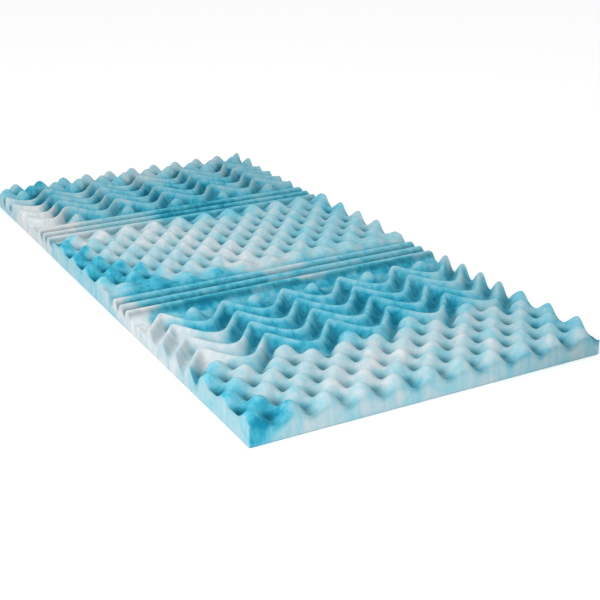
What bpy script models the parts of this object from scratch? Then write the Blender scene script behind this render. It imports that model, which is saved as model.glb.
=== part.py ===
"""Mattress topper: one slab of convoluted gel memory foam, its patterned face up.

The face has five fields along the bed. An egg-crate field in the middle lies between two
bands of straight ridges. Past each band come a trough with a row of single bumps, four
zigzag ridges, and an egg-crate field that runs out to the end of the slab. The pattern
mirrors about a line across the bed, save that the sharp corners of all the zigzags point
to the far end, and the slab is cut off its middle, so the near egg-crate field is longer
than the far one.
"""
import math
from collections import namedtuple

import bmesh
import bpy

# The slab, flat underside at z = 0, origin under its middle
WIDTH = 0.9652          # along X, across the bed
LENGTH = 2.032          # along Y, far end at +Y
PEAK_Z = 0.0762         # underside to the tallest peaks

# Where the pattern sits
PITCH = 0.0897          # peak to peak across the bed
COLUMN_X = 0.4780       # one column of peaks, beside the right edge
MIRROR_Y = 0.1004       # middle row of the middle field

# Egg-crate fields: peaks and pits in a chequered grid
PIT_Z = 0.0390          # bottom of a pit
SADDLE_Z = 0.0535       # between two peaks that lie aslant of each other
BESIDE_PEAK_Z = 0.0590  # halfway from a peak to the pit beside it, across the bed
BEYOND_PEAK_Z = 0.0515  # halfway from a peak to the pit beyond it, along the bed
EggField = namedtuple("EggField", "first spacing")    # first row from the mirror line, row to row
MIDDLE_FIELD = EggField(first=0.0, spacing=0.0564)
MIDDLE_ROWS = 4         # rows of peaks on each side of the middle row
MIDDLE_RUN_OUT = 0.35   # outside those rows the waves run out, slower by this factor
LastRow = namedtuple("LastRow", "level fill")         # the last row is drawn this far to a level
LAST_ROWS = {
    "near": LastRow(level=0.0600, fill=0.60),
    "far": LastRow(level=0.0762, fill=0.22),
}
END_FIELDS = {
    "near": EggField(first=0.8232, spacing=0.0536),
    "far": EggField(first=0.8105, spacing=0.0536),
}
LAST_ROW = 5            # outermost row of peaks at the near end
INNER_LOSS = 0.0055     # how much lower the near field's first peaks are than its last

# Rim of the near end, outside its last row of peaks
RIM_RUN = 0.028         # length over which the rim sinks
RIM_DROP_PEAK = 0.0010  # sinking in line with a peak
RIM_DROP_PIT = 0.0100   # sinking in line with a pit

# Straight ridges across the bed, and the slope that leads up to them
Ridges = namedtuple("Ridges", "first spacing count top groove fullness")
RIDGES = Ridges(first=0.3035, spacing=0.0484, count=3, top=0.0575, groove=0.0405, fullness=0.55)
FIRST_GROOVE = RIDGES.first - RIDGES.spacing / 2
LAST_RIDGE = RIDGES.first + (RIDGES.count - 1) * RIDGES.spacing
SLOPE_START = 0.246     # where the middle field begins to fade into the first groove

# Trough with one bump between two inner corners of the first zigzag
TROUGH_Z = 0.0350
TROUGH_START = 0.008    # from the crest of the last straight ridge to where it drops
TROUGH_RUN = 0.028      # length of the drop to the trough's floor
BUMP_Z = 0.0665
BUMP_RADIUS = 0.0400

# Zigzag ridges: sharp corners towards the far end, round corners towards the near end
Zigzags = namedtuple("Zigzags", "first swing sharp_z round_z sharp_round")
ZIGZAGS = {
    "near": Zigzags(first=0.4835, swing=0.0820, sharp_z=0.0678, round_z=0.0590, sharp_round=0.12),
    "far": Zigzags(first=0.4745, swing=0.1000, sharp_z=0.0665, round_z=0.0640, sharp_round=0.24),
}
ZIGZAG_SPACING = 0.0826
ZIGZAG_COUNT = 4
ZIGZAG_GROOVE = 0.0300
ZIGZAG_FULLNESS = 1.2
WIDE_ROUND = 0.40       # rounded share of a ridge's arm at a round corner
ZIGZAG_START = (-0.62, -0.38)    # blend from the trough, in ridge spacings from the first ridge
ZIGZAG_END = (3.50, 3.80)        # blend into the end field

# Mesh rows from the mirror line outwards: each band ends at this distance, in so many rows
Band = namedtuple("Band", "end rows")
ZIGZAG_MIDDLE = ZIGZAGS["near"].first + ZIGZAGS["near"].swing / 2    # the same on both sides
INNER_BANDS = (
    Band(end=MIDDLE_ROWS * MIDDLE_FIELD.spacing, rows=12),
    Band(end=FIRST_GROOVE, rows=3),
    Band(end=LAST_RIDGE, rows=10),
    Band(end=ZIGZAG_MIDDLE - ZIGZAG_SPACING / 2, rows=5),
    Band(end=ZIGZAG_MIDDLE + (ZIGZAG_COUNT - 0.5) * ZIGZAG_SPACING, rows=24),
)
OUTER_BANDS = {
    "near": (
        Band(end=END_FIELDS["near"].first + 2 * END_FIELDS["near"].spacing, rows=9),
        Band(end=END_FIELDS["near"].first + LAST_ROW * END_FIELDS["near"].spacing, rows=9),
        Band(end=LENGTH / 2 + MIRROR_Y, rows=2),
    ),
    "far": (
        Band(end=LENGTH / 2 - MIRROR_Y, rows=8),
    ),
}
COLUMNS_PER_PITCH = 4   # mesh columns from one peak to the next
EDGE_GAP = 0.006        # a mesh column nearer to a side than this is left out
LEAN_IN = (0.405, 0.495)         # mesh rows start to follow the zigzags here
LEAN_OUT = (0.815, 0.9156)       # and run straight again here

FOAM_COLOR = (0.47, 0.72, 0.80, 1.0)
FOAM_ROUGHNESS = 0.85


def smooth(value, start, end):
    """0 before start, 1 after end, and an even S-shaped rise between."""
    share = min(max((value - start) / (end - start), 0.0), 1.0)
    return share * share * (3.0 - 2.0 * share)


def mix(first, second, share):
    return first * (1.0 - share) + second * share


def ripple(distance, spacing):
    """1 on a crest, 0 in a groove."""
    return 0.5 + 0.5 * math.cos(math.tau * distance / spacing)


def column_phase(x):
    """Pitches from the column of peaks beside the right edge."""
    return (x - COLUMN_X) / PITCH


def arm(x, side):
    """Place along a zigzag's arm: 0 at a sharp corner, 1 at a round one.

    The far side's sharp corners stand in the columns of the near side's round ones.
    """
    phase = column_phase(x if side == "near" else x + PITCH)
    share = 2.0 * abs((phase / 2.0 + 0.5) % 1.0 - 0.5)
    sharp = ZIGZAGS[side].sharp_round
    if share < sharp:
        share = share ** 2 / (2.0 * sharp) + sharp / 2.0
    elif share > 1.0 - WIDE_ROUND:
        share = 1.0 - (1.0 - share) ** 2 / (2.0 * WIDE_ROUND) - WIDE_ROUND / 2.0
    return (share - sharp / 2.0) / (1.0 - sharp / 2.0 - WIDE_ROUND / 2.0)


def swing_out(x, side):
    """How far a zigzag has swung away from the straight ridges, 0 to 1."""
    return arm(x, side) if side == "near" else 1.0 - arm(x, side)


def egg_height(x, out, field):
    """Egg-crate surface: waves both ways, and half-length waves that set the levels between."""
    across = math.cos(math.tau * column_phase(x))
    along = math.cos(math.pi * (out - field.first) / field.spacing)
    across_half = 2.0 * across ** 2 - 1.0
    along_half = 2.0 * along ** 2 - 1.0
    middle = (PEAK_Z + PIT_Z) / 2
    height = (middle + SADDLE_Z + BESIDE_PEAK_Z + BEYOND_PEAK_Z) / 4
    height += (PEAK_Z - PIT_Z) / 2 * across * along
    height += (middle - SADDLE_Z - BESIDE_PEAK_Z + BEYOND_PEAK_Z) / 4 * across_half
    height += (middle - SADDLE_Z + BESIDE_PEAK_Z - BEYOND_PEAK_Z) / 4 * along_half
    return height + (middle + SADDLE_Z - BESIDE_PEAK_Z - BEYOND_PEAK_Z) / 4 * across_half * along_half


def middle_height(x, out, side):
    """Middle field, shallower at its last row, which fades into the first groove outside it."""
    last = MIDDLE_ROWS * MIDDLE_FIELD.spacing
    slowed = min(out, last) + MIDDLE_RUN_OUT * max(out - last, 0.0)
    filled = LAST_ROWS[side].fill * smooth(out, last - MIDDLE_FIELD.spacing, last)
    height = mix(egg_height(x, slowed, MIDDLE_FIELD), LAST_ROWS[side].level, filled)
    return mix(height, RIDGES.groove, smooth(out, SLOPE_START, FIRST_GROOVE))


def ridge_height(out):
    share = ripple(out - RIDGES.first, RIDGES.spacing) ** RIDGES.fullness
    return mix(RIDGES.groove, RIDGES.top, share)


def trough_height(x, out, side):
    """Floor of the trough with its bumps, one for every second pitch."""
    across = abs((column_phase(x) / 2.0) % 1.0 - 0.5) * 2.0 * PITCH
    radius = min(math.hypot(across, out - ZIGZAGS[side].first), BUMP_RADIUS)
    return mix(TROUGH_Z, BUMP_Z, ripple(radius, 2.0 * BUMP_RADIUS))


def zigzag_phase(x, out, side):
    """Ridge spacings from the first zigzag ridge."""
    zigzags = ZIGZAGS[side]
    return (out - zigzags.first - zigzags.swing * swing_out(x, side)) / ZIGZAG_SPACING


def zigzag_height(x, phase, side):
    zigzags = ZIGZAGS[side]
    crest = mix(zigzags.round_z, zigzags.sharp_z, (1.0 - arm(x, side)) ** 2)
    return mix(ZIGZAG_GROOVE, crest, ripple(phase, 1.0) ** ZIGZAG_FULLNESS)


def end_height(x, out, side):
    """Egg-crate field at an end, with the rim of the near end."""
    field = END_FIELDS[side]
    height = egg_height(x, out, field)
    if side == "far":
        return height
    last = field.first + LAST_ROW * field.spacing
    inner = min(max((last - out) / (last - field.first), 0.0), 1.0)
    height -= INNER_LOSS * inner * max((height - PIT_Z) / (PEAK_Z - PIT_Z), 0.0)
    in_line_with_pit = 0.5 + 0.5 * math.cos(math.tau * column_phase(x))
    return height - mix(RIM_DROP_PEAK, RIM_DROP_PIT, in_line_with_pit) * smooth(out, last, last + RIM_RUN)


def face_height(x, out, side):
    """Height of the patterned face, at a distance out from the mirror line."""
    if out <= FIRST_GROOVE:
        return middle_height(x, out, side)
    if out <= LAST_RIDGE:
        return ridge_height(out)
    edge = LAST_RIDGE + TROUGH_START
    height = mix(RIDGES.top, trough_height(x, out, side), smooth(out, edge, edge + TROUGH_RUN))
    phase = zigzag_phase(x, out, side)
    height = mix(height, zigzag_height(x, phase, side), smooth(phase, *ZIGZAG_START))
    return mix(height, end_height(x, out, side), smooth(phase, *ZIGZAG_END))


def lean(x, out, side):
    """Shift of a mesh row that makes it follow the zigzag ridges."""
    share = smooth(out, *LEAN_IN) * (1.0 - smooth(out, *LEAN_OUT))
    return ZIGZAGS[side].swing * (swing_out(x, side) - 0.5) * share


def row_distances(side):
    """Distances of the mesh rows from the mirror line, without the line itself."""
    distances = []
    start = 0.0
    for band in INNER_BANDS + OUTER_BANDS[side]:
        step = (band.end - start) / band.rows
        distances += [start + step * (i + 1) for i in range(band.rows)]
        start = band.end
    return distances


def mesh_rows():
    """All mesh rows from the near end to the far end, as side and distance."""
    near = [("near", out) for out in reversed(row_distances("near"))]
    far = [("far", out) for out in row_distances("far")]
    return near + [("far", 0.0)] + far


def mesh_columns():
    """X of the mesh columns: both sides of the slab, and the pattern's own columns between."""
    step = PITCH / COLUMNS_PER_PITCH
    inner = []
    x = COLUMN_X
    while x > -WIDTH / 2:
        if WIDTH / 2 - abs(x) > EDGE_GAP:
            inner.append(x)
        x -= step
    return [-WIDTH / 2] + inner[::-1] + [WIDTH / 2]


def slab_mesh(name):
    """A grid lifted to the pattern, with its border drawn down to a flat underside."""
    columns = mesh_columns()
    rows = mesh_rows()
    x_cells = len(columns) - 1
    y_cells = len(rows) - 1
    bm = bmesh.new()
    bmesh.ops.create_grid(bm, x_segments=x_cells, y_segments=y_cells, size=0.5)
    for vert in bm.verts:
        x = columns[round((vert.co.x + 0.5) * x_cells)]
        side, out = rows[round((vert.co.y + 0.5) * y_cells)]
        out += lean(x, out, side)
        away = -out if side == "near" else out
        vert.co = (x, MIRROR_Y + away, face_height(x, out, side))
    border = [edge for edge in bm.edges if edge.is_boundary]
    walls = bmesh.ops.extrude_edge_only(bm, edges=border)["geom"]
    for item in walls:
        if isinstance(item, bmesh.types.BMVert):
            item.co.z = 0.0
    hem = [edge for edge in bm.edges if edge.is_boundary]
    bmesh.ops.holes_fill(bm, edges=hem, sides=0)
    bmesh.ops.recalc_face_normals(bm, faces=bm.faces)
    mesh = bpy.data.meshes.new(name)
    bm.to_mesh(mesh)
    bm.free()
    return mesh


def foam_material():
    material = bpy.data.materials.new("gel_memory_foam")
    material.use_nodes = True
    shader = material.node_tree.nodes["Principled BSDF"]
    shader.inputs["Base Color"].default_value = FOAM_COLOR
    shader.inputs["Roughness"].default_value = FOAM_ROUGHNESS
    shader.inputs["Metallic"].default_value = 0.0
    return material


def main():
    for obj in list(bpy.data.objects):
        bpy.data.objects.remove(obj, do_unlink=True)
    collection = bpy.data.collections.new("Mattress topper")
    bpy.context.scene.collection.children.link(collection)
    slab = bpy.data.objects.new("foam_slab", slab_mesh("foam_slab"))
    slab.data.materials.append(foam_material())
    collection.objects.link(slab)


main()
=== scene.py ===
import math

import bmesh
import bpy
import numpy as np
from mathutils import Matrix, Vector, noise


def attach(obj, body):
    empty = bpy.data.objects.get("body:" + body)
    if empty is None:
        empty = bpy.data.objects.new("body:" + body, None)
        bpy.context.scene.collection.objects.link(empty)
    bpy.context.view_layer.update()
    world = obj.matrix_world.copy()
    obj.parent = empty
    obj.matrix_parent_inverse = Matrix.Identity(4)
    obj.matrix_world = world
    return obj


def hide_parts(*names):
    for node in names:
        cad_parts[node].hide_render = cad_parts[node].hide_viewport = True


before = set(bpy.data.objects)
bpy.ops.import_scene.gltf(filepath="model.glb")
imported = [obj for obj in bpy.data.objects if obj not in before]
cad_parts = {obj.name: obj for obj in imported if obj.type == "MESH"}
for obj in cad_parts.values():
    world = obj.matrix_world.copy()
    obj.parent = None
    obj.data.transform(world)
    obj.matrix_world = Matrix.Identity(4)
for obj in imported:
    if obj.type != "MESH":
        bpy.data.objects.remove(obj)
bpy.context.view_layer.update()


def linearColor(sRgbHex):
    channels = [int(sRgbHex[i:i + 2], 16) / 255 for i in (1, 3, 5)]
    return [c / 12.92 if c <= 0.04045 else ((c + 0.055) / 1.055) ** 2.4 for c in channels] + [1.0]


def addNode(tree, kind, settings=None, values=None, links=None):
    node = tree.nodes.new(kind)
    for name, value in (settings or {}).items():
        setattr(node, name, value)
    for socket, value in (values or {}).items():
        node.inputs[socket].default_value = value
    for socket, source in (links or {}).items():
        tree.links.new(source, node.inputs[socket])
    return node


def smooth(value, start, end):
    share = np.clip((value - start) / (end - start), 0.0, 1.0)
    return share * share * (3.0 - 2.0 * share)


def mix(first, second, share):
    return first * (1.0 - share) + second * share


def ripple(distance, spacing):
    return 0.5 + 0.5 * np.cos(math.tau * distance / spacing)  # 1 on a crest, 0 in a groove


foamSlab = {
    "width": 0.9652,         # across the bed
    "length": 2.032,
    "peak": 0.0762,          # underside to the tallest peaks
    "pit": 0.0390,
    "saddle": 0.0535,        # between two peaks that lie aslant of each other
    "besidePeak": 0.0590,    # halfway from a peak to the pit beside it
    "beyondPeak": 0.0515,    # halfway from a peak to the pit beyond it
    "pitch": 0.0897,         # peak to peak across the bed
    "columnX": 0.4780,       # one column of peaks
    "mirrorY": 0.1004,       # the pattern mirrors about this line across the bed
    # each "first" is the distance from that line to the first row or ridge
    "middleField": {"first": 0.0, "spacing": 0.0564, "rows": 4,
                    "runOut": 0.35},    # past those rows the waves are this much slower
    # the middle field's last row is drawn this far to a level
    "lastRows": {"near": {"level": 0.0600, "fill": 0.60},
                 "far": {"level": 0.0762, "fill": 0.22}},
    "endFields": {"near": {"first": 0.8232, "spacing": 0.0536},
                  "far": {"first": 0.8105, "spacing": 0.0536}},
    "lastRow": 5,            # outermost row of peaks at the near end
    "innerLoss": 0.0055,     # the near field's first peaks are this much lower than its last
    "rimRun": 0.028,         # past the last row the near rim sinks over this length
    "rimDropPeak": 0.0010,   # in line with a peak
    "rimDropPit": 0.0100,    # in line with a pit
    "ridges": {"first": 0.3035, "spacing": 0.0484, "count": 3, "top": 0.0575, "groove": 0.0405,
               "fullness": 0.55},       # under 1: fuller than a wave
    "slopeStart": 0.246,     # the middle field begins to fade into the first groove
    "trough": 0.0350,
    "troughStart": 0.008,    # from the crest of the last straight ridge to the drop
    "troughRun": 0.028,      # length of the drop
    "bump": 0.0665,          # the single bumps in the trough
    "bumpRadius": 0.0400,
    # "sharpRound" is the rounded share of an arm at a sharp corner
    "zigzags": {"near": {"first": 0.4835, "swing": 0.0820, "sharpZ": 0.0678, "roundZ": 0.0590,
                         "sharpRound": 0.12},
                "far": {"first": 0.4745, "swing": 0.1000, "sharpZ": 0.0665, "roundZ": 0.0640,
                        "sharpRound": 0.24}},
    "wideRound": 0.40,       # rounded share of an arm at a round corner
    "zigzagSpacing": 0.0826,
    "zigzagGroove": 0.0300,
    "zigzagFullness": 1.2,   # over 1: narrower than a wave
    "zigzagStart": (-0.62, -0.38),      # blend from the trough, in spacings from the first ridge
    "zigzagEnd": (3.50, 3.80),          # blend into the end field
    "edgeRadius": 0.003,     # the cut edge is nearly sharp
    "edgeSteps": (0.0, 0.08, 0.4),      # mesh lines on its round, in radii from the side
    "hemRadius": 0.002,      # round of the lower edge
    "hemSteps": ((0.3, 0.3), (0.0, 1.0)),    # height and inset of its mesh lines, in radii
    "wallRows": 7,           # mesh rows down a cut side
    "cell": 0.0052,          # mesh cell
}


def columnPhase(x):
    return (x - foamSlab["columnX"]) / foamSlab["pitch"]


def pickSide(sides, name, near):
    # near is true on the near side of the mirror line
    return np.where(near, sides["near"][name], sides["far"][name])


def armShare(x, near):
    # 0 at a zigzag's sharp corner, 1 at its round one; the far side's stand in the other columns
    sharp, wide = pickSide(foamSlab["zigzags"], "sharpRound", near), foamSlab["wideRound"]
    phase = columnPhase(x + np.where(near, 0.0, foamSlab["pitch"]))
    share = 2.0 * np.abs((phase / 2.0 + 0.5) % 1.0 - 0.5)
    atSharp = share ** 2 / (2.0 * sharp) + sharp / 2.0
    atWide = 1.0 - (1.0 - share) ** 2 / (2.0 * wide) - wide / 2.0
    share = np.where(share < sharp, atSharp, np.where(share > 1.0 - wide, atWide, share))
    return (share - sharp / 2.0) / (1.0 - sharp / 2.0 - wide / 2.0)


def eggHeight(x, out, field):
    # waves both ways, and half-length waves that set the levels between peaks and pits
    across = np.cos(math.tau * columnPhase(x))
    along = np.cos(math.pi * (out - field["first"]) / field["spacing"])
    acrossHalf, alongHalf = 2.0 * across ** 2 - 1.0, 2.0 * along ** 2 - 1.0
    peak, pit = foamSlab["peak"], foamSlab["pit"]
    saddle, beside, beyond = foamSlab["saddle"], foamSlab["besidePeak"], foamSlab["beyondPeak"]
    middle = (peak + pit) / 2
    return ((middle + saddle + beside + beyond) / 4 + (peak - pit) / 2 * across * along
            + (middle - saddle - beside + beyond) / 4 * acrossHalf
            + (middle - saddle + beside - beyond) / 4 * alongHalf
            + (middle + saddle - beside - beyond) / 4 * acrossHalf * alongHalf)


def middleHeight(x, out, near):
    # shallower at the last row of peaks; past it the waves run out slowly, into the first groove
    field, ridges = foamSlab["middleField"], foamSlab["ridges"]
    last = field["rows"] * field["spacing"]
    slowed = np.minimum(out, last) + field["runOut"] * np.maximum(out - last, 0.0)
    filled = (pickSide(foamSlab["lastRows"], "fill", near)
              * smooth(out, last - field["spacing"], last))
    level = pickSide(foamSlab["lastRows"], "level", near)
    height = mix(eggHeight(x, slowed, field), level, filled)
    fade = smooth(out, foamSlab["slopeStart"], ridges["first"] - ridges["spacing"] / 2)
    return mix(height, ridges["groove"], fade)


def troughHeight(x, out, near):
    # a flat floor with a round bump in every other column
    across = np.abs((columnPhase(x) / 2.0) % 1.0 - 0.5) * 2.0 * foamSlab["pitch"]
    along = out - pickSide(foamSlab["zigzags"], "first", near)
    radius = np.minimum(np.hypot(across, along), foamSlab["bumpRadius"])
    return mix(foamSlab["trough"], foamSlab["bump"], ripple(radius, 2.0 * foamSlab["bumpRadius"]))


def zigzagPhase(x, out, near):
    # the sharp corners point to the far end on both sides
    zigzags, arm = foamSlab["zigzags"], armShare(x, near)
    swung = pickSide(zigzags, "swing", near) * np.where(near, arm, 1.0 - arm)
    return (out - pickSide(zigzags, "first", near) - swung) / foamSlab["zigzagSpacing"]


def zigzagHeight(x, phase, near):
    zigzags, sharpness = foamSlab["zigzags"], (1.0 - armShare(x, near)) ** 2
    crest = mix(pickSide(zigzags, "roundZ", near), pickSide(zigzags, "sharpZ", near), sharpness)
    return mix(foamSlab["zigzagGroove"], crest, ripple(phase, 1.0) ** foamSlab["zigzagFullness"])


def endHeight(x, out, near):
    farHeight = eggHeight(x, out, foamSlab["endFields"]["far"])
    field = foamSlab["endFields"]["near"]
    nearHeight = eggHeight(x, out, field)
    last = field["first"] + foamSlab["lastRow"] * field["spacing"]
    inner = np.clip((last - out) / (last - field["first"]), 0.0, 1.0)
    depth = foamSlab["peak"] - foamSlab["pit"]
    relief = np.clip((nearHeight - foamSlab["pit"]) / depth, 0.0, 1.0)
    nearHeight = nearHeight - foamSlab["innerLoss"] * inner * relief
    inLineWithPit = 0.5 + 0.5 * np.cos(math.tau * columnPhase(x))
    rimDrop = mix(foamSlab["rimDropPeak"], foamSlab["rimDropPit"], inLineWithPit)
    nearHeight = nearHeight - rimDrop * smooth(out, last, last + foamSlab["rimRun"])
    return np.where(near, nearHeight, farHeight)


def faceHeight(x, y):
    out = np.abs(y - foamSlab["mirrorY"])
    near = y < foamSlab["mirrorY"]
    ridges = foamSlab["ridges"]
    firstGroove = ridges["first"] - ridges["spacing"] / 2
    lastRidge = ridges["first"] + (ridges["count"] - 1) * ridges["spacing"]
    straight = mix(ridges["groove"], ridges["top"],
                   ripple(out - ridges["first"], ridges["spacing"]) ** ridges["fullness"])
    drop = lastRidge + foamSlab["troughStart"]
    outer = mix(ridges["top"], troughHeight(x, out, near),
                smooth(out, drop, drop + foamSlab["troughRun"]))
    phase = zigzagPhase(x, out, near)
    outer = mix(outer, zigzagHeight(x, phase, near), smooth(phase, *foamSlab["zigzagStart"]))
    outer = mix(outer, endHeight(x, out, near), smooth(phase, *foamSlab["zigzagEnd"]))
    inner = np.where(out <= firstGroove, middleHeight(x, out, near), straight)
    return np.where(out <= lastRidge, inner, outer)


def rolledRim(x, y, radius):
    # how far the rim sinks near the cut sides, on a quarter round
    inside = np.minimum(foamSlab["width"] / 2 - np.abs(x), foamSlab["length"] / 2 - np.abs(y))
    gap = np.clip(radius - inside, 0.0, radius)
    return radius - np.sqrt(radius ** 2 - gap ** 2)


def stations(length, cell, radius):
    # even cells, with closer ones on the rolled rim
    half = length / 2
    rim = [half - radius * step for step in foamSlab["edgeSteps"]]
    inner = half - radius
    count = round(2 * inner / cell)
    even = [-inner + 2 * inner * i / count for i in range(count + 1)]
    return [-r for r in rim] + even + rim[::-1]


def slabMesh(name):
    # a grid raised to the patterned face, with cut sides drawn down from its border
    xs = stations(foamSlab["width"], foamSlab["cell"], foamSlab["edgeRadius"])
    ys = stations(foamSlab["length"], foamSlab["cell"], foamSlab["edgeRadius"])
    bm = bmesh.new()
    bmesh.ops.create_grid(bm, x_segments=len(xs) - 1, y_segments=len(ys) - 1, size=0.5)
    corners = np.array([v.co for v in bm.verts])
    x = np.array(xs)[np.rint((corners[:, 0] + 0.5) * (len(xs) - 1)).astype(int)]
    y = np.array(ys)[np.rint((corners[:, 1] + 0.5) * (len(ys) - 1)).astype(int)]
    z = faceHeight(x, y) - rolledRim(x, y, foamSlab["edgeRadius"])
    for vert, co in zip(bm.verts, zip(x, y, z)):
        vert.co = co
    hem, halves = foamSlab["hemRadius"], (foamSlab["width"] / 2, foamSlab["length"] / 2)
    rings = [(1.0 / (foamSlab["wallRows"] - i), None, 0.0) for i in range(foamSlab["wallRows"])]
    rings += [(1.0, height * hem, inset * hem) for height, inset in foamSlab["hemSteps"]]
    for share, height, inset in rings:
        border = [e for e in bm.edges if e.is_boundary]
        ring = bmesh.ops.extrude_edge_only(bm, edges=border)["geom"]
        for vert in [g for g in ring if isinstance(g, bmesh.types.BMVert)]:
            for axis, half in enumerate(halves):
                side = vert.co[axis]
                vert.co[axis] = math.copysign(min(abs(side), half - inset), side)
            vert.co.z = mix(vert.co.z, hem, share) if height is None else height
    bmesh.ops.holes_fill(bm, edges=[e for e in bm.edges if e.is_boundary], sides=0)
    bmesh.ops.recalc_face_normals(bm, faces=bm.faces)
    mesh = bpy.data.meshes.new(name)
    bm.to_mesh(mesh)
    bm.free()
    mesh.shade_smooth()
    return mesh


marbling = {
    "tones": (("#c9cdce", 0.0), ("#b0c1c7", 0.25), ("#90bcc6", 0.5), ("#6cb4c7", 0.74),
              ("#3ea4bb", 0.92), ("#1183a0", 1.1)),      # foam colour by share of gel
    "plainGel": 0.45,          # gel share where no stroke was poured
    "wander": 0.040,           # how far the stroke borders wander
    "wanderScale": 8.0,
    "wanderSeed": 7,           # not 0, which takes the time of day
    "fineWander": (0.4, 3.1),  # size and scale of a finer wander, in shares of the first
    "faceLean": 1.1,           # the stroke borders run down the cut faces aslant
    "rimFade": 0.020,          # the painted shade and tint of the top fade out down the cut faces
    "ring": 0.028,             # a point is compared with the mean height on this ring around it
    "ringPoints": 16,
    # painted shade in the egg fields, by height: a bluer tint gained by the gel share, and the
    # share of light kept
    "pitPaintedTint": ((0.039, 0.36), (0.044, 0.22), (0.049, 0.06), (0.054, 0.0), (0.068, -0.05)),
    "pitShade": ((0.039, 0.40), (0.042, 0.54), (0.046, 0.76), (0.050, 0.88), (0.056, 0.93),
                 (0.066, 0.97)),
    "bluePitLess": 0.35,       # pits gain this share less of the painted tint in blue foam
    "rimBlend": 0.015,         # the near field's shading fades out around its last row
    # and elsewhere, by height above the ring mean, in pale foam and in blue foam: a painted shade
    # tint, bluer and darker in hollows, paler on crests
    "palePaintedTint": ((-0.016, 0.32), (-0.004, 0.12), (0.006, 0.0), (0.016, -0.05)),
    "bluePaintedTint": ((-0.020, 0.12), (0.004, 0.09), (0.011, -0.05), (0.017, -0.18)),
    "paleShade": ((-0.017, 0.50), (-0.009, 0.78), (-0.004, 0.87), (0.003, 0.92), (0.016, 0.96)),
    "blueShade": ((-0.020, 0.68), (-0.012, 0.88), (-0.004, 0.94), (0.004, 0.88), (0.016, 0.93)),
    "blueFrom": (0.5, 0.8),    # gel shares between which pale foam becomes blue foam
    # the painted shade and tint of the hollows grow between these gel shares, as light soaks
    # through white foam and fills its hollows
    "soakEnd": (0.18, 0.48),
    "eggSoakEnd": (0.2, 0.4),
    "eggHollow": 0.5,          # in the egg fields this share of the hollows' painted shade stays
    "ridgeReach": (1.3, 1.6),  # end of the straight ridges, in spacings from the middle one
    "grooveWidth": 0.85,       # under 1: the painted dark grooves between them are narrower than a wave
    # painted shade tint and painted shade on the ridges: darker and bluer in the grooves, a paler
    # painted highlight on the crests
    "groovePaintedTint": 0.14,
    "ridgePaintedTint": -0.10,
    "grooveShade": 0.36,
    "ridgeShade": 0.98,
    "farRun": (0.40, 0.55),    # past this stretch of Y the foam is darker, a painted shade, and its painted hollow shade has more contrast
    "farContrast": 0.35,
    "farShade": 0.91,
    "rightRun": (0.2, 0.45),   # the same for X
    "rightShade": 0.95,
    "faceBand": 0.004,         # a cut face's own gel share and painted shade begin this near to it
    "leftFaceGel": 0.20,
    "leftFaceBlend": 0.55,     # how far its gel is drawn to that share
    # painted shade on the left cut face
    "leftFaceShade": 0.88,
    "frontFaceRun": (0.0, 0.48),    # painted shade on the front face grows along this stretch of X
    "frontFaceShade": 0.80,
    # streaks of gel run down through the slab, 1 to 3 mm wide, too fine to show, so they are
    # drawn wider
    "streakWidth": 0.0055,
    "streakLength": 0.110,
    "streakFineness": 0.3,     # noise units in a streak's width
    "streakLean": (0.14, 0.10),     # sideways in X and Y for each metre down
    "streakNoise": {"Detail": 3.0, "Roughness": 0.6, "Distortion": 0.4},
    "streakGel": 0.15,         # swing of the gel share
    "cloudSize": 0.07,         # swirls where the gel spread, about 70 mm across
    "cloudNoise": {"Detail": 4.0, "Roughness": 0.55, "Distortion": 1.2},
    "cloudGel": 0.16,
    "noiseRange": (0.3, 0.7),  # most of a noise pattern's values
    "swing": 1.2,              # the marbling's swing in foam without gel
    "blueCalm": 0.45,          # it loses this where the gel share is 1
    "cellSize": 0.0025,        # real cells are about 0.5 mm, too fine to show: these are coarser
    "cellFineness": 0.5,
    "cellBump": (0.12, 0.0006),     # strength and depth
    "roughness": 0.9,          # open cells scatter the light
    "ior": 1.45,
    "specular": 0.2,
}

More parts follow.
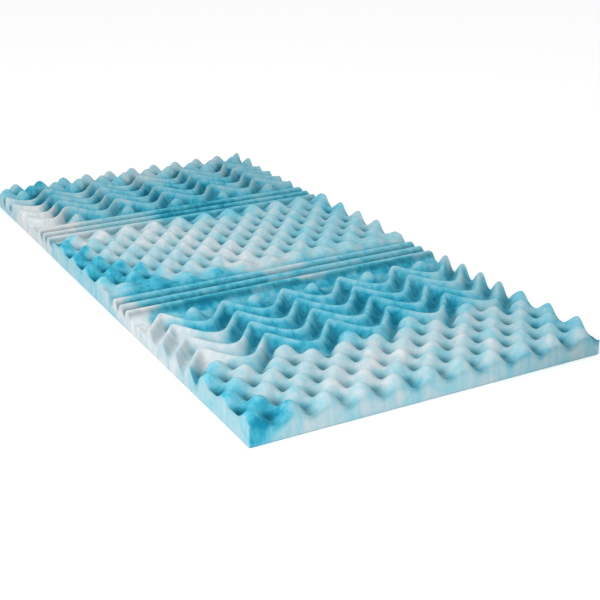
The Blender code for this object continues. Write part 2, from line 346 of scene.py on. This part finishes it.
# gel poured in strokes, one over the other: from x, y, to x, y, half width, gel share, soft border
gelStrokes = [
    # near end field
    (-0.50, -0.90, 0.50, -0.90, 0.13, 0.40, 0.05),
    (-0.20, -0.95, 0.05, -0.86, 0.05, 0.27, 0.07),
    (0.36, -0.93, 0.48, -0.86, 0.05, 0.50, 0.08),
    (0.16, -1.03, 0.36, -1.03, 0.04, 0.42, 0.05),
    (0.48, -0.96, 0.46, -0.72, 0.035, 0.70, 0.08),
    (0.28, -1.04, 0.56, -1.04, 0.04, 0.50, 0.05),
    # near zigzags
    (0.44, -0.59, -0.14, -0.57, 0.135, 0.86, 0.05),
    (0.26, -0.66, -0.10, -0.55, 0.08, 0.92, 0.08),
    (-0.16, -0.68, 0.10, -0.68, 0.055, 0.92, 0.06),
    (0.30, -0.62, 0.40, -0.58, 0.05, 0.94, 0.08),
    (0.14, -0.51, 0.26, -0.51, 0.04, 0.98, 0.06),
    (-0.32, -0.43, 0.42, -0.43, 0.06, 0.86, 0.06),
    (-0.30, -0.46, -0.02, -0.44, 0.04, 0.95, 0.06),
    (0.50, -0.72, 0.43, -0.50, 0.05, 0.68, 0.08),
    (0.12, -0.72, 0.28, -0.72, 0.03, 0.60, 0.06),
    (-0.50, -0.74, -0.31, -0.62, 0.05, 0.36, 0.05),
    (-0.38, -0.66, -0.49, -0.44, 0.055, 0.22, 0.05),
    (-0.46, -0.93, -0.46, -0.75, 0.030, 0.80, 0.04),
    (-0.43, -0.90, -0.45, -0.78, 0.045, 0.82, 0.06),
    (-0.50, -1.03, -0.40, -1.02, 0.055, 0.80, 0.03),
    (-0.46, -0.98, -0.40, -0.96, 0.045, 0.96, 0.04),
    # near trough and ridges
    (-0.36, -0.35, 0.50, -0.35, 0.05, 0.72, 0.04),
    (-0.34, -0.315, 0.40, -0.315, 0.024, 0.90, 0.02),
    (-0.38, -0.22, -0.06, -0.25, 0.07, 0.92, 0.04),
    (0.00, -0.24, 0.24, -0.25, 0.02, 0.88, 0.04),
    (-0.28, -0.31, -0.12, -0.31, 0.025, 1.00, 0.04),
    (0.16, -0.23, 0.50, -0.23, 0.06, 0.78, 0.05),
    (-0.39, -0.50, -0.46, -0.20, 0.045, 0.16, 0.06),
    # middle field
    (-0.36, -0.16, -0.06, -0.16, 0.04, 0.84, 0.05),
    (-0.34, -0.13, -0.22, -0.19, 0.030, 0.95, 0.04),
    (0.06, -0.16, 0.06, -0.10, 0.06, 0.33, 0.05),
    (0.34, -0.02, 0.42, 0.20, 0.13, 0.58, 0.08),
    (-0.02, -0.05, -0.20, 0.26, 0.10, 0.28, 0.07),
    (-0.12, -0.02, -0.30, 0.16, 0.05, 0.42, 0.07),
    (-0.34, -0.10, -0.42, 0.04, 0.060, 0.92, 0.06),
    (-0.44, -0.05, -0.46, 0.06, 0.040, 0.95, 0.05),
    (-0.43, 0.02, -0.46, 0.38, 0.042, 0.96, 0.05),
    (-0.24, 0.25, -0.34, 0.32, 0.05, 0.32, 0.06),
    (-0.02, 0.36, 0.50, 0.355, 0.035, 0.72, 0.05),
    (-0.05, 0.40, 0.50, 0.40, 0.020, 0.88, 0.03),
    (0.46, 0.20, 0.47, 0.36, 0.03, 0.74, 0.06),
    # far ridges
    (-0.06, 0.46, 0.50, 0.46, 0.06, 0.86, 0.03),
    (-0.05, 0.47, 0.15, 0.47, 0.06, 1.02, 0.04),
    (-0.22, 0.46, -0.12, 0.46, 0.06, 0.60, 0.05),
    # far zigzags
    (-0.26, 0.66, 0.48, 0.66, 0.15, 0.78, 0.06),
    (0.00, 0.68, 0.28, 0.76, 0.09, 0.90, 0.08),
    (-0.02, 0.80, 0.26, 0.80, 0.06, 0.80, 0.06),
    (0.14, 0.80, 0.30, 0.71, 0.055, 0.98, 0.07),
    (-0.12, 0.78, 0.04, 0.78, 0.04, 0.90, 0.06),
    (-0.06, 0.58, 0.28, 0.57, 0.04, 0.88, 0.06),
    # far end field
    (-0.34, 0.92, 0.46, 0.92, 0.06, 0.60, 0.07),
    (0.14, 0.86, 0.30, 0.84, 0.05, 0.78, 0.07),
    (-0.34, 0.98, -0.20, 0.98, 0.03, 0.70, 0.06),
    (-0.38, 0.90, -0.10, 0.88, 0.05, 0.80, 0.07),
    (0.46, 0.60, 0.48, 0.95, 0.05, 0.68, 0.08),
    (-0.34, 0.70, -0.35, 0.98, 0.04, 0.90, 0.06),
    (0.04, 0.93, 0.10, 0.98, 0.06, 0.40, 0.06),
    # left border of the far half
    (-0.34, 0.32, -0.42, 0.48, 0.05, 0.24, 0.05),
    (-0.38, 0.54, -0.43, 0.72, 0.08, 0.00, 0.07),
    (-0.46, 0.80, -0.48, 0.90, 0.03, 0.30, 0.05),
    (-0.46, 0.96, -0.44, 1.01, 0.03, 0.72, 0.05),
    (-0.45, 0.27, -0.46, 0.37, 0.030, 0.90, 0.05),
]


def strokeShare(x, y, path, halfWidth, border):
    # 1 inside the stroke, 0 outside its soft border
    startX, startY, endX, endY = path
    runX, runY = endX - startX, endY - startY
    along = ((x - startX) * runX + (y - startY) * runY) / (runX ** 2 + runY ** 2)
    along = np.clip(along, 0.0, 1.0)
    away = np.hypot(x - startX - along * runX, y - startY - along * runY)
    return 1.0 - smooth(away, halfWidth - border / 2, halfWidth + border / 2)


def strokeGel(co):
    # the gel share after all strokes, their borders wandering
    x, y, z = co.T
    fineShare, fineScale = marbling["fineWander"]
    noise.seed_set(marbling["wanderSeed"])
    places = [Vector(p) * marbling["wanderScale"] for p in co]
    wander = np.array([noise.noise_vector(p) for p in places])
    wander += fineShare * np.array([noise.noise_vector(p * fineScale) for p in places])
    pouredX = x + marbling["wander"] * wander[:, 0] + (foamSlab["peak"] - z) * marbling["faceLean"]
    pouredY = y + marbling["wander"] * wander[:, 1]
    gel = np.full(len(co), marbling["plainGel"])
    for *path, halfWidth, poured, border in gelStrokes:
        gel = mix(gel, poured, strokeShare(pouredX, pouredY, path, halfWidth, border))
    return gel


def ringMean(x, y):
    radius, count = marbling["ring"], marbling["ringPoints"]
    turns = np.arange(count) * math.tau / count
    heights = [faceHeight(x + radius * math.cos(t), y + radius * math.sin(t)) for t in turns]
    return sum(heights) / count


def eggShare(x, y):
    # 1 where the face has peaks and pits, save for the open front rim
    out = np.abs(y - foamSlab["mirrorY"])
    inMiddle = 1.0 - smooth(out, foamSlab["slopeStart"], foamSlab["ridges"]["first"])
    inEnd = smooth(zigzagPhase(x, out, y < foamSlab["mirrorY"]), *foamSlab["zigzagEnd"])
    near = foamSlab["endFields"]["near"]
    last = near["first"] + foamSlab["lastRow"] * near["spacing"]
    rim = smooth(out, last - marbling["rimBlend"], last + marbling["rimBlend"])
    return np.maximum(inMiddle, inEnd) * (1.0 - rim)


def byHeight(height, table):
    return np.interp(height, *zip(*marbling[table]))


def pourGelAndPaintShade(mesh):
    # gives each vertex its share of gel, with a painted shade tint, and a painted shade: the share
    # of light that its place in the relief keeps
    co = np.empty(len(mesh.vertices) * 3)
    mesh.vertices.foreach_get("co", co)
    co = co.reshape(-1, 3)
    x, y, z = co.T
    gel = strokeGel(co)
    surface = faceHeight(x, y)
    onTop = 1.0 - smooth(surface - z, 0.0, marbling["rimFade"])
    inFar = smooth(y, *marbling["farRun"])
    above = (surface - ringMean(x, y)) * (1.0 + marbling["farContrast"] * inFar)

    # painted shade and shade tint in pale, blue and egg-crate foam: bluer and darker in hollows,
    # paler on crests
    blue = smooth(gel, *marbling["blueFrom"])
    egg = eggShare(x, y)
    hold = onTop * smooth(gel, *marbling["soakEnd"])
    paintedTint = mix(hold * byHeight(above, "palePaintedTint"), onTop * byHeight(above, "bluePaintedTint"), blue)
    inPits = onTop * byHeight(surface, "pitPaintedTint") * (1.0 - marbling["bluePitLess"] * blue)
    paintedTint = mix(paintedTint, inPits, egg)
    kept = mix(byHeight(above, "paleShade"), byHeight(above, "blueShade"), blue)
    kept = mix(kept, byHeight(surface, "pitShade"), egg)
    eggHold = mix(marbling["eggHollow"], 1.0, smooth(gel, *marbling["eggSoakEnd"]))
    hold = mix(hold, onTop * eggHold, egg)

    # painted shade and shade tint on the straight ridges: dark grooves, pale crests
    ridges = foamSlab["ridges"]
    fromFirst = np.abs(y - foamSlab["mirrorY"]) - ridges["first"]
    reach = [share * ridges["spacing"] for share in marbling["ridgeReach"]]
    onRidges = 1.0 - smooth(np.abs(fromFirst - ridges["spacing"]), *reach)
    crest = ripple(fromFirst, ridges["spacing"]) ** marbling["grooveWidth"]
    ridgePaintedTint = mix(marbling["groovePaintedTint"], marbling["ridgePaintedTint"], crest)
    ridgeShade = mix(marbling["grooveShade"], marbling["ridgeShade"], crest)
    gel = gel + mix(paintedTint, onTop * ridgePaintedTint, onRidges)
    shade = mix(1.0, mix(kept, ridgeShade, onRidges), mix(hold, onTop, onRidges))

    # the cut faces' own gel share, and painted shade on the left and front cut faces and towards
    # the far and right parts
    halfWidth, halfLength = foamSlab["width"] / 2, foamSlab["length"] / 2
    band = marbling["faceBand"]
    onLeftFace = smooth(-x, halfWidth - band, halfWidth)
    onFrontFace = smooth(-y, halfLength - band, halfLength)
    gel = mix(gel, marbling["leftFaceGel"], marbling["leftFaceBlend"] * onLeftFace)
    for name, share in (("farShade", inFar * (1.0 - onLeftFace)),
                        ("rightShade", smooth(x, *marbling["rightRun"])),
                        ("leftFaceShade", onLeftFace),
                        ("frontFaceShade", onFrontFace * smooth(x, *marbling["frontFaceRun"]))):
        shade = shade * mix(1.0, marbling[name], share)
    # the gel attribute holds the gel share with its painted shade tint, the shade attribute the
    # painted shade
    for name, values in (("gel", gel), ("shade", shade)):
        attribute = mesh.attributes.new(name, "FLOAT", "POINT")
        attribute.data.foreach_set("value", values.astype(np.float32))


def memoryFoam():
    # gel memory foam, poured with unmixed gel and cut by a shaped knife: dull, chalky, streaked
    material = bpy.data.materials.new("gel memory foam, cut")
    material.use_nodes = True
    tree = material.node_tree
    shader = tree.nodes["Principled BSDF"]
    place = addNode(tree, "ShaderNodeTexCoord").outputs["Object"]
    # the gel attribute carries a painted shade tint as well, and the shade attribute is painted
    # shade
    gel = addNode(tree, "ShaderNodeAttribute", {"attribute_name": "gel"}).outputs["Fac"]
    shade = addNode(tree, "ShaderNodeAttribute", {"attribute_name": "shade"}).outputs["Fac"]

    # streaks: noise drawn out in Z and leaned
    split = addNode(tree, "ShaderNodeSeparateXYZ", links={0: place})
    leaned = [addNode(tree, "ShaderNodeMath", {"operation": "MULTIPLY_ADD"}, {1: lean},
                      {0: split.outputs[2], 2: split.outputs[axis]})
              for axis, lean in enumerate(marbling["streakLean"])]
    squeezed = addNode(tree, "ShaderNodeMath", {"operation": "MULTIPLY"},
                       {1: marbling["streakWidth"] / marbling["streakLength"]},
                       {0: split.outputs[2]})
    streakPlace = addNode(tree, "ShaderNodeCombineXYZ",
                          links={0: leaned[0].outputs[0], 1: leaned[1].outputs[0],
                                 2: squeezed.outputs[0]})
    streaks = addNode(tree, "ShaderNodeTexNoise", {},
                      {"Scale": marbling["streakFineness"] / marbling["streakWidth"],
                       **marbling["streakNoise"]}, {"Vector": streakPlace.outputs[0]})
    clouds = addNode(tree, "ShaderNodeTexNoise", {},
                     {"Scale": 1.0 / marbling["cloudSize"], **marbling["cloudNoise"]},
                     {"Vector": place})

    # the gel share swings with both, and picks the tone
    swingRoom = addNode(tree, "ShaderNodeMath", {"operation": "MULTIPLY_ADD"},
                        {1: -marbling["blueCalm"], 2: marbling["swing"]}, {0: gel})
    low, high = marbling["noiseRange"]
    share = gel
    for pattern, swing in ((streaks, marbling["streakGel"]), (clouds, marbling["cloudGel"])):
        part = addNode(tree, "ShaderNodeMapRange", {},
                       {"From Min": low, "From Max": high, "To Min": -swing, "To Max": swing},
                       {"Value": pattern.outputs["Fac"]})
        share = addNode(tree, "ShaderNodeMath", {"operation": "MULTIPLY_ADD"},
                        links={0: part.outputs[0], 1: swingRoom.outputs[0], 2: share}).outputs[0]
    lowest, highest = marbling["tones"][0][1], marbling["tones"][-1][1]
    spread = addNode(tree, "ShaderNodeMapRange", {}, {"From Min": lowest, "From Max": highest},
                     {"Value": share})
    ramp = addNode(tree, "ShaderNodeValToRGB", links={0: spread.outputs[0]})
    stops = ramp.color_ramp.elements
    while len(stops) < len(marbling["tones"]):
        stops.new(0.5)
    for stop, (tone, position) in zip(stops, marbling["tones"]):
        stop.position = (position - lowest) / (highest - lowest)
        stop.color = linearColor(tone)
    # painted shade: the tone is scaled by the shade attribute
    shaded = addNode(tree, "ShaderNodeVectorMath", {"operation": "SCALE"},
                     links={0: ramp.outputs["Color"], "Scale": shade})
    tree.links.new(shaded.outputs[0], shader.inputs["Base Color"])
    for socket, name in (("Roughness", "roughness"), ("IOR", "ior"),
                         ("Specular IOR Level", "specular")):
        shader.inputs[socket].default_value = marbling[name]
    cells = addNode(tree, "ShaderNodeTexNoise", {},
                    {"Scale": marbling["cellFineness"] / marbling["cellSize"], "Detail": 2.0},
                    {"Vector": place})
    strength, depth = marbling["cellBump"]
    bump = addNode(tree, "ShaderNodeBump", {}, {"Strength": strength, "Distance": depth},
                   {"Height": cells.outputs["Fac"]})
    tree.links.new(bump.outputs[0], shader.inputs["Normal"])
    return material


print("foam slab")
slab = bpy.data.objects.new("topperFoam", slabMesh("topperFoam"))
bpy.context.scene.collection.objects.link(slab)
print("marbling")
pourGelAndPaintShade(slab.data)
slab.data.materials.append(memoryFoam())
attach(slab, "root")
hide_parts("foam_slab")

studio = {
    "floor": "#fcfcfd",
    "floorSide": 60.0,
    "floorDrop": 0.0005,     # just under the foam's flat underside
    "floorRoughness": 0.95,
    "floorSpecular": 0.1,
    "skyStrength": 0.98,
    "keyPower": 81.0,
    "keySide": 1.9,          # a broad softbox, high on the left
    "keyPlace": (-2.9, -1.7, 2.15),
    "keyAim": (0.0, 0.0, 0.05),
}

cameraSetup = {
    "place": (-1.35944, -2.83023, 1.13703),
    "yaw": 0.47448,          # from +Y towards +X
    "pitch": 0.37887,        # down
    "roll": -0.01714,
    "focal": 1091.73,        # in picture pixels
    "frame": 600,            # picture width in pixels
    "shift": 0.05,
    "sensor": 36.0,
    "clipEnd": 200.0,
}

print("floor")
floorMesh = bpy.data.meshes.new("studioFloor")
bm = bmesh.new()
bmesh.ops.create_grid(bm, x_segments=1, y_segments=1, size=studio["floorSide"] / 2)
bm.to_mesh(floorMesh)
bm.free()
floor = bpy.data.objects.new("studioFloor", floorMesh)
floor.location.z = -studio["floorDrop"]
bpy.context.scene.collection.objects.link(floor)
# uncoated studio paper off a roll: even, near white, with no gloss
paper = bpy.data.materials.new("matt paper backdrop")
paper.use_nodes = True
paperShader = paper.node_tree.nodes["Principled BSDF"]
paperShader.inputs["Base Color"].default_value = linearColor(studio["floor"])
paperShader.inputs["Roughness"].default_value = studio["floorRoughness"]
paperShader.inputs["Specular IOR Level"].default_value = studio["floorSpecular"]
floorMesh.materials.append(paper)

print("light")
world = bpy.data.worlds.new("studioSky")
world.use_nodes = True
sky = world.node_tree.nodes["Background"]
sky.inputs["Color"].default_value = (1.0, 1.0, 1.0, 1.0)
sky.inputs["Strength"].default_value = studio["skyStrength"]
bpy.context.scene.world = world
softbox = bpy.data.lights.new("softbox", "AREA")
softbox.energy = studio["keyPower"]
softbox.size = studio["keySide"]
key = bpy.data.objects.new("softbox", softbox)
key.location = studio["keyPlace"]
away = Vector(studio["keyPlace"]) - Vector(studio["keyAim"])
key.rotation_euler = away.to_track_quat("Z", "Y").to_euler()
key.visible_camera = False
bpy.context.scene.collection.objects.link(key)
bpy.context.scene.view_settings.view_transform = "Standard"

print("camera")
lens = bpy.data.cameras.new("photoCamera")
lens.sensor_width = cameraSetup["sensor"]
lens.lens = cameraSetup["focal"] / cameraSetup["frame"] * lens.sensor_width
lens.shift_x = cameraSetup["shift"]
lens.clip_end = cameraSetup["clipEnd"]
camera = bpy.data.objects.new("photoCamera", lens)
bpy.context.scene.collection.objects.link(camera)
yaw, pitch, roll = (cameraSetup[k] for k in ("yaw", "pitch", "roll"))
ahead = Vector((math.sin(yaw) * math.cos(pitch), math.cos(yaw) * math.cos(pitch),
                -math.sin(pitch)))
right = Vector((math.cos(yaw), -math.sin(yaw), 0.0))
up = right.cross(ahead)
rolledRight = right * math.cos(roll) + up * math.sin(roll)
rolledUp = up * math.cos(roll) - right * math.sin(roll)
turned = Matrix((rolledRight, rolledUp, -ahead)).transposed()
camera.matrix_world = Matrix.Translation(cameraSetup["place"]) @ turned.to_4x4()
bpy.context.scene.camera = camera
